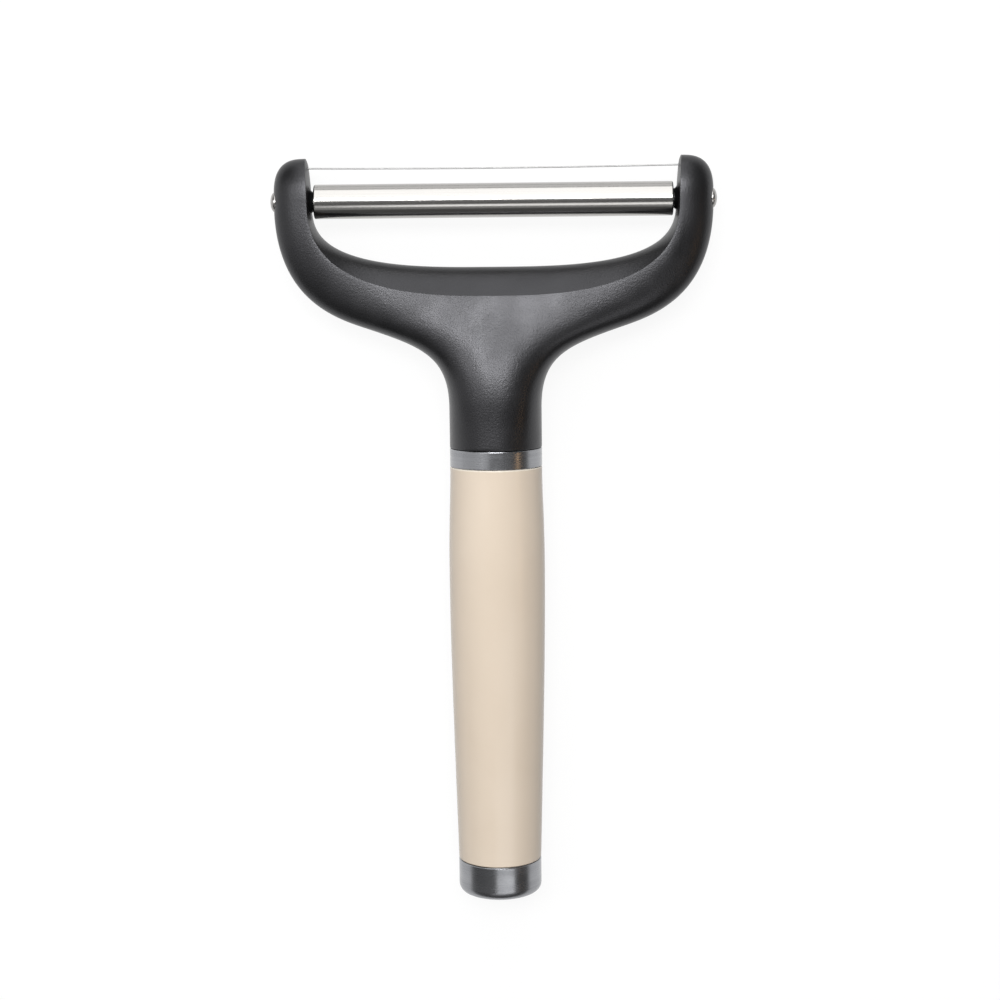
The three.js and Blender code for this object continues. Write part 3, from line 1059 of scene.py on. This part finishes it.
@dataclass
class WireSet:
    """The taut cutting wire between the arm tips."""

    finishes: Finishes
    diameter: float = 0.45
    half_length: float = 57.5
    wire_y: float = 9.325
    held_at: float = 51.7
    bow: float = 0.35
    cuts: int = 47
    sides: int = 16

    def build(self) -> None:
        """Makes, dresses and fits the wire, with the slight bow that use gives it."""
        blank, radius = Blank(), self.diameter / 2
        bmesh.ops.create_cone(
            blank.bm, cap_ends=True, segments=self.sides, radius1=radius, radius2=radius,
            depth=2 * self.half_length, matrix=Matrix.Rotation(math.pi / 2, 4, "Y"))
        along = [e for e in blank.bm.edges if e.calc_length() > self.half_length]
        bmesh.ops.subdivide_edges(blank.bm, edges=along, cuts=self.cuts, use_grid_fill=True)
        for vert in blank.bm.verts:
            sag = max(1 - (vert.co.x / self.held_at) ** 2, 0.0)
            vert.co.y += self.wire_y - self.bow * sag
        bmesh.ops.recalc_face_normals(blank.bm, faces=blank.bm.faces[:])
        wire = blank.set_down("wire")
        fit(wire, self.finishes, Body.SLICER, Slot.WIRE_STEEL, "cutting_wire")


@dataclass
class RollerSet:
    """The polished tube on its axle, and the domed caps that close the axle's ends."""

    finishes: Finishes
    half_length: float = 50.6
    diameter: float = 9.7
    wall: float = 1.0
    end_round: float = 0.4
    bore_round: float = 0.15
    sides: int = 128
    cap_diameter: float = 5.7
    cap_foot: float = 61.3
    cap_edge: float = 0.45
    cap_top: float = 63.05
    socket_diameter: float = 3.3
    socket_end: float = 62.1
    foot_round: float = 0.12
    dome_steps: int = 14
    cap_sides: int = 64

    def tube(self) -> None:
        """Makes, dresses and fits the tube."""
        outer, bore, end = self.diameter / 2, self.diameter / 2 - self.wall, self.half_length
        corners = [Corner(-end, bore, self.bore_round), Corner(-end, outer, self.end_round),
                   Corner(end, outer, self.end_round), Corner(end, bore, self.bore_round)]
        tube = Blank().turn(corners, Turning.ROLLER, self.sides, ring=True).set_down("roller_tube")
        fit(tube, self.finishes, Body.ROLLER, Slot.ROLLER_STEEL, "roller_sleeve")

    def cap(self, side: Side) -> None:
        """Makes, dresses and fits the domed cap on one end of the axle.

        Args:
            side: the arm that it sits on.
        """
        radius, socket = self.cap_diameter / 2, self.socket_diameter / 2
        shoulder = self.cap_foot + self.cap_edge
        rise = self.cap_top - shoulder
        angles = (math.pi / 2 * k / self.dome_steps for k in range(self.dome_steps))
        dome = [Corner(shoulder + rise * math.sin(a), radius * math.cos(a)) for a in angles]
        corners = [Corner(self.socket_end, 0.0), Corner(self.socket_end, socket),
                   Corner(self.cap_foot, socket), Corner(self.cap_foot, radius, self.foot_round),
                   *dome, Corner(self.cap_top, 0.0)]
        turned = [Corner(c.along * side.value, c.radius, c.round) for c in corners]
        name = side.name.lower()
        cap = Blank().turn(turned, Turning.ROLLER, self.cap_sides, ring=False).set_down("axle_dome_" + name)
        fit(cap, self.finishes, Body.SLICER, Slot.CAP_STEEL, "axle_cap_" + name)


@dataclass
class HandleSet:
    """The steel collar, the cream grip and the steel cup on its butt."""

    finishes: Finishes
    neck_radius: float = 13.2
    tang_bore: float = 9.9
    collar_high: float = -70.15
    collar_low: float = -75.35
    collar_round: float = 0.32
    seam_round: float = 0.1
    inner_round: float = 0.15
    grip_high: float = -75.45
    grip_low: float = -191.15
    grip_round: float = 0.7
    lip_share: float = 0.6
    taper_points: int = 60
    swell_points: int = 30
    belly_radius: float = 13.8
    belly_drop: float = 30.0
    belly_ease: float = 25.0
    swell_ease: float = 15.0
    collar_ease: float = 7.5
    end_radius: float = 12.1
    taper_ease: float = 30.0
    taper_lean: float = 0.75
    web_high: float = -113.55
    web_low: float = -118.55
    screw_hole: float = 1.95
    lower_bore: float = 8.5
    cap_high: float = -191.25
    cap_low: float = -201.35
    cap_wall: float = 0.9
    cap_round: float = 2.5
    cap_lip: float = 0.3
    sides: int = 144

    def collar(self) -> None:
        """Makes, dresses and fits the collar."""
        low, high = self.collar_low, self.collar_high
        bore, inner = self.tang_bore, self.inner_round
        corners = [Corner(low, bore, inner), Corner(low, self.neck_radius, self.seam_round),
                   Corner(high, self.neck_radius, self.collar_round), Corner(high, bore, inner)]
        collar = Blank().turn(corners, Turning.HANDLE, self.sides, ring=True).set_down("collar")
        fit(collar, self.finishes, Body.SLICER, Slot.SATIN_STEEL, "neck_collar")

    def _grip_side(self) -> list[Corner]:
        """The grip's outer side, from the butt over the taper and the belly to the collar.

        Returns:
            The corners of its profile.
        """
        end, belly, neck = self.end_radius, self.belly_radius, self.neck_radius
        low, high = self.grip_low + self.grip_round, self.grip_high - self.grip_round
        widest = self.grip_high - self.belly_drop
        taper = interpolate_bezier(
            Vector((low, end)), Vector((self.grip_low + self.taper_ease, end + self.taper_lean)),
            Vector((widest - self.belly_ease, belly)), Vector((widest, belly)), self.taper_points)
        swell = interpolate_bezier(
            Vector((widest, belly)), Vector((widest + self.swell_ease, belly)),
            Vector((high - self.collar_ease, neck)), Vector((high, neck)), self.swell_points)
        return [Corner(p.x, p.y) for p in taper + swell[1:]]

    def grip(self) -> None:
        """Makes, dresses and fits the grip, with the bores and the web that the screw pulls on."""
        lip = self.lip_share * self.grip_round
        corners = [
            Corner(self.grip_low, self.lower_bore), Corner(self.grip_low, self.end_radius, lip),
            *self._grip_side(), Corner(self.grip_high, self.neck_radius, lip),
            Corner(self.grip_high, self.tang_bore), Corner(self.web_high, self.tang_bore),
            Corner(self.web_high, self.screw_hole),
            Corner(self.web_low, self.screw_hole), Corner(self.web_low, self.lower_bore)]
        grip = Blank().turn(corners, Turning.HANDLE, self.sides, ring=True).set_down("grip")
        fit(grip, self.finishes, Body.SLICER, Slot.CREAM_PLASTIC, "handle_grip")

    def cup(self) -> None:
        """Makes, dresses and fits the drawn steel cup on the butt."""
        outer, inner = self.end_radius, self.end_radius - self.cap_wall
        floor = self.cap_low + self.cap_wall
        corners = [
            Corner(self.cap_low, 0.0), Corner(self.cap_low, outer, self.cap_round),
            Corner(self.cap_high, outer, self.cap_lip), Corner(self.cap_high, inner, self.inner_round),
            Corner(floor, inner, self.cap_round - self.cap_wall), Corner(floor, 0.0)]
        cup = Blank().turn(corners, Turning.HANDLE, self.sides, ring=False).set_down("butt_cup")
        fit(cup, self.finishes, Body.SLICER, Slot.SATIN_STEEL, "end_cap")


def dress_kept_nodes(finishes: Finishes) -> None:
    """Gives the nodes that stay as they are their own finish.

    Args:
        finishes: a material for each slot.
    """
    kept = {
        Slot.FIXING_STEEL: ("roller_axle", "wire_anchor_left", "wire_anchor_right", "tang_screw"),
        Slot.BUSH_PLASTIC: ("roller_bush_left", "roller_bush_right", "cap_plug"),
    }
    for slot, nodes in kept.items():
        for node in nodes:
            materials = frame["nodes"][node].data.materials
            materials.clear()
            materials.append(finishes[slot])
            log.info("%s is kept, in %s", node, slot.value)


# Studio


def grey(level: float) -> tuple[float, float, float, float]:
    """An opaque grey."""
    return (level, level, level, 1.0)


@dataclass(frozen=True)
class SoftBox:
    """A lamp panel that faces the slicer."""

    name: str
    across: float
    along: float
    distance: float
    size: tuple[float, float]
    radiance: float
    colour: Colour = (1.0, 1.0, 1.0)

    def place(self, target: Vector) -> None:
        """Sets the panel up.

        Args:
            target: what it faces.
        """
        turn, tip = math.radians(self.across), math.radians(self.along)
        towards = Vector((math.sin(turn) * math.cos(tip), math.sin(tip), math.cos(turn) * math.cos(tip)))
        lamp = bpy.data.lights.new(self.name, "AREA")
        lamp.shape, (lamp.size, lamp.size_y) = "RECTANGLE", self.size
        lamp.energy = self.radiance * math.pi * self.size[0] * self.size[1]
        lamp.color = self.colour
        panel = stand(self.name, lamp)
        level = (Vector((1, 0, 0)) - towards * towards.x).normalized()
        facing = Matrix((level, towards.cross(level), towards)).transposed().to_4x4()
        panel.matrix_world = Matrix.Translation(target + towards * self.distance) @ facing
        panel.visible_camera = False


@dataclass
class Studio:
    """The floor, the lamps, the room and the camera."""

    aim: tuple[float, float, float] = (0.001, 0.0091875, 0.0138)
    distance: float = 0.576
    tilt: float = 7.5
    yaw: float = 1.0
    roll: float = 0.6
    lens: float = 72.0
    sensor: float = 36.0
    near_clip: float = 0.01
    floor_size: float = 40.0
    paper: float = 0.16
    shade: float = 0.11
    glow: float = 0.9
    sky: tuple[tuple[float, float], ...] = (
        (0.0, 0.85), (0.03, 0.55), (0.12, 0.13), (0.4, 0.1),
        (0.6, 0.13), (0.85, 0.16), (0.92, 0.15), (1.0, 0.14),
    )
    panels: tuple[SoftBox, ...] = (
        SoftBox("key_panel", -0.5, 19.0, 0.95, (0.48, 0.22), 15.6),
        SoftBox("side_panel", -31.0, 12.0, 0.95, (0.3, 0.22), 4.5),
        SoftBox("long_strip", 0.0, 57.0, 0.95, (0.56, 1.0), 2.15),
        SoftBox("left_fill", -52.0, 6.0, 0.9, (1.3, 0.62), 0.74),
        SoftBox("warm_strip", 57.0, -9.0, 0.8, (0.05, 0.18), 3.6, (1.0, 0.62, 0.32)),
        SoftBox("front_card", 16.0, -28.0, 0.9, (0.74, 0.22), 1.7),
        SoftBox("low_card", 6.0, -42.0, 0.9, (0.8, 0.34), 0.22),
    )

    def camera(self) -> None:
        """Puts the camera where the photograph was taken from."""
        lens = bpy.data.cameras.new("camera")
        lens.lens, lens.sensor_width, lens.sensor_fit = self.lens, self.sensor, "HORIZONTAL"
        lens.clip_start = self.near_clip
        camera = stand("camera", lens)
        tilt = Matrix.Rotation(-math.radians(self.tilt), 4, "X")
        turn = Matrix.Rotation(math.radians(self.yaw), 4, "Y") @ tilt
        back = Matrix.Translation((0, 0, self.distance))
        roll = Matrix.Rotation(-math.radians(self.roll), 4, "Z")
        camera.matrix_world = Matrix.Translation(self.aim) @ turn @ back @ roll
        bpy.context.scene.camera = camera

    def floor(self) -> None:
        """Lays the pale floor, which shows white and keeps a soft shadow."""
        shape = bmesh.new()
        bmesh.ops.create_grid(shape, x_segments=1, y_segments=1, size=self.floor_size / 2)
        mesh = bpy.data.meshes.new("floor")
        shape.to_mesh(mesh)
        shape.free()
        floor = stand("floor", mesh)
        material, board = new_board("floor_paper")
        path = board.add("LightPath").outputs
        shown = board.sum("MAXIMUM", path["Is Camera Ray"], path["Is Glossy Ray"])
        shown = board.sum("MAXIMUM", shown, path["Is Transmission Ray"])
        paper = board.add("BsdfDiffuse", None, Color=grey(self.paper)).outputs[0]
        shade = board.add("BsdfDiffuse", None, Color=grey(self.shade)).outputs[0]
        glow = board.add("Emission", None, Color=grey(1.0), Strength=self.glow).outputs[0]
        white = board.join("AddShader", None, shade, glow)
        choice = board.join("MixShader", None, shown, paper, white)
        board.add("OutputMaterial", None, Surface=choice)
        mesh.materials.append(material)

    def room(self) -> None:
        """Lights the room: pale at the horizon and dim overhead, where the camera stands."""
        world = bpy.data.worlds.new("room")
        world.use_nodes = True
        board = Board(world.node_tree)
        place = board.add("TexCoord").outputs["Generated"]
        height = board.add("SeparateXYZ", None, Vector=place).outputs["Z"]
        ramp = board.add("ValToRGB", None, Fac=height)
        points = ramp.color_ramp.elements
        while len(points) < len(self.sky):
            points.new(0.5)
        for point, (position, level) in zip(points, self.sky):
            point.position, point.color = position, grey(level)
        light = board.add("Background", None, Color=ramp.outputs["Color"], Strength=1.0)
        board.add("OutputWorld", None, Surface=light.outputs[0])
        bpy.context.scene.world = world

    def set_up(self) -> None:
        """Sets up the whole studio."""
        self.camera()
        self.floor()
        self.room()
        for panel in self.panels:
            panel.place(Vector(self.aim))
        bpy.context.scene.view_settings.view_transform = "Standard"
        log.info("studio with %d panels", len(self.panels))


def main() -> None:
    """Builds the slicer piece by piece and sets up the studio round it."""
    logging.basicConfig(level=logging.INFO, format="%(name)s: %(message)s")
    effects = Effects()
    finishes = {slot: finish.material(slot.value, effects) for slot, finish in FINISHES.items()}
    Studio().set_up()
    YokeHead(finishes).build()
    WireSet(finishes).build()
    roller = RollerSet(finishes)
    roller.tube()
    for side in Side:
        roller.cap(side)
    handle = HandleSet(finishes)
    handle.collar()
    handle.grip()
    handle.cup()
    dress_kept_nodes(finishes)


if __name__ == "__main__":
    main()
